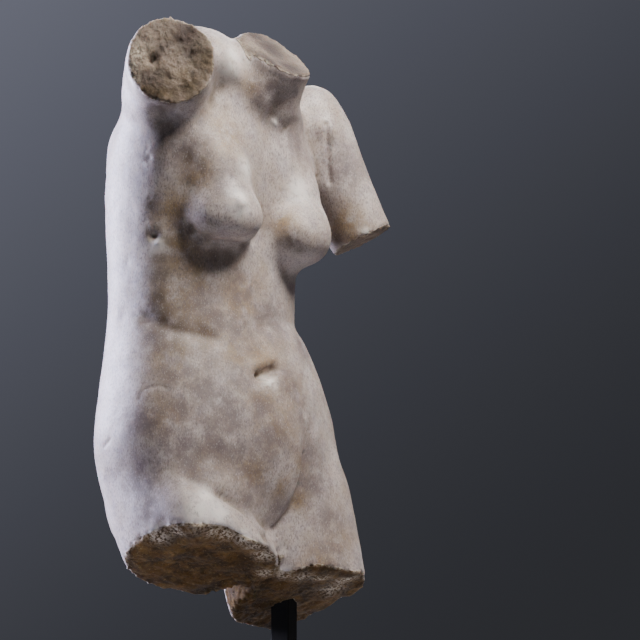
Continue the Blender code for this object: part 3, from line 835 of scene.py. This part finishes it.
# %% Black paints
def black_paint(name, dark, light, patch, stipple, roughness):
    """Black paint whose patches and stipple have real sizes, over a range of roughness."""
    material, paint_tree, paint_shader = new_material(name, IOR=1.5, Specular_IOR_Level=0.2)
    where = add_node(paint_tree, "TexCoord", {}, "Object")
    patches = add_node(paint_tree, "TexNoise", {"Scale": 1 / patch, "Detail": 3.0, "Vector": where})
    orange_peel = add_node(paint_tree, "TexNoise", {"Scale": 1 / stipple, "Detail": 2.0, "Vector": where})
    shade = {"data_type": "RGBA", SHARE: patches, UNDER: linear(dark), OVER: linear(light)}
    dull = {"To Min": roughness[0], "To Max": roughness[1], "Value": patches}
    relief = {"Strength": 0.4, "Distance": 0.1 * MM, "Height": orange_peel}
    link = paint_tree.links.new
    link(add_node(paint_tree, "Mix", shade, MIXED), paint_shader.inputs["Base Color"])
    link(add_node(paint_tree, "MapRange", dull), paint_shader.inputs["Roughness"])
    link(add_node(paint_tree, "Bump", relief), paint_shader.inputs["Normal"])
    return material


# Name, darkest and lightest colour, size of the patches and of the stipple, range of roughness
PAINTS = {
    "post": ("satin black paint on steel", "#020202", "#060606", 30 * MM, 3 * MM, (0.45, 0.65)),
    "plinth": ("matt black paint on board", "#101011", "#1e1e1f", 60 * MM, 1.6 * MM, (0.5, 0.75)),
}
for node_name, row in PAINTS.items():
    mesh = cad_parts[node_name].data
    mesh.materials.clear()
    mesh.materials.append(black_paint(*row))
print("painted:", list(PAINTS))

# %% [markdown]
# ## Floor and light
# A plain pale floor carries the plinth. A cool soft lamp stands to the left and a little behind,
# and grazes the flank. A warmer one high in front on the right models the chest and the belly,
# and leaves a dark band between the two. A weak one behind lights the back.

# %% Floor
FLOOR_RADIUS, FLOOR_CORNERS = 0.75, 96

bm = bmesh.new()
bmesh.ops.create_circle(bm, cap_ends=True, segments=FLOOR_CORNERS, radius=FLOOR_RADIUS)
floor_mesh = bpy.data.meshes.new("floor")
bm.to_mesh(floor_mesh)
bm.free()
floor = bpy.data.objects.new("floor", floor_mesh)
bpy.context.scene.collection.objects.link(floor)
floor_material, _, floor_shader = new_material("pale floor", Roughness=0.8)
floor_shader.inputs["Base Color"].default_value = linear("#b4b3b1")
floor_mesh.materials.append(floor_material)
print("floor:", 2 * FLOOR_RADIUS, "m across")


# %% Lamps
def soft_lamp(name, around, above, distance, size, power, colour):
    """A square lamp at a distance, by degrees to the right of the camera and above the aim."""
    light = bpy.data.lights.new(name, "AREA")
    light.size = size
    light.energy = power
    light.color = linear(colour)[:3]
    lamp = bpy.data.objects.new(name, light)
    bpy.context.scene.collection.objects.link(lamp)
    around, above = math.radians(around), math.radians(above)
    level = Vector((towards_camera.x, towards_camera.y, 0)).normalized()
    way = (level * math.cos(around) + rightward * math.sin(around)) * math.cos(above)
    way.z = math.sin(above)
    lamp.location = AIM + way * distance
    lamp.rotation_euler = way.to_track_quat("Z", "Y").to_euler()


# Degrees round and up, distance and size in metres, watts, and colour
soft_lamp("key lamp", -105, 14, 1.8, 0.8, 140, "#dedfff")
soft_lamp("front lamp", 50, 58, 1.75, 0.6, 64, "#fff8f2")
soft_lamp("back lamp", 180, 40, 2.2, 0.9, 17, "#f4f2f2")
print("lamps:", [light.name for light in bpy.data.lights])

# %% [markdown]
# The room is dark, and only the wall behind the sculpture is lit, brightest high on the left. A
# world shader paints both: one dot product says how much a direction looks at the wall, and
# another how far it points to the wall's bright corner.

# %% A dark room with a lit wall
# The way to the bright corner, and the dot products where its fade and the wall's start and end
CORNER_ACROSS, CORNER_UP = -0.61, 0.79
CORNER_FADE = {"From Min": -0.18, "From Max": 0.18}
WALL_FADE = {"From Min": 0.3, "From Max": 0.9}

world = bpy.data.worlds.new("studio")
bpy.context.scene.world = world
world.use_nodes = True
sky = world.node_tree
direction = add_node(sky, "TexCoord", {}, "Generated")
bright_corner = rightward * CORNER_ACROSS + upward * CORNER_UP
to_corner = {"operation": "DOT_PRODUCT", 0: direction, 1: bright_corner}
slant = add_node(sky, "VectorMath", to_corner, "Value")
slant = add_node(sky, "MapRange", {**CORNER_FADE, "Value": slant})
slant = add_node(sky, "Math", {"operation": "POWER", 0: slant, 1: 2.0})
wall = {"data_type": "RGBA", SHARE: slant, UNDER: linear("#2f3034"), OVER: linear("#686a77")}
wall = add_node(sky, "Mix", wall, MIXED)
to_wall = {"operation": "DOT_PRODUCT", 0: direction, 1: -towards_camera}
facing = add_node(sky, "VectorMath", to_wall, "Value")
facing = add_node(sky, "MapRange", {**WALL_FADE, "Value": facing})
room = {"data_type": "RGBA", SHARE: facing, UNDER: linear("#131315"), OVER: wall}
sky.links.new(add_node(sky, "Mix", room, MIXED), sky.nodes["Background"].inputs["Color"])
print("nodes in the room's light:", len(sky.nodes))

# %% Sizes, and the end
print("triangles:", sum(len(face.vertices) - 2 for face in torso.data.polygons))
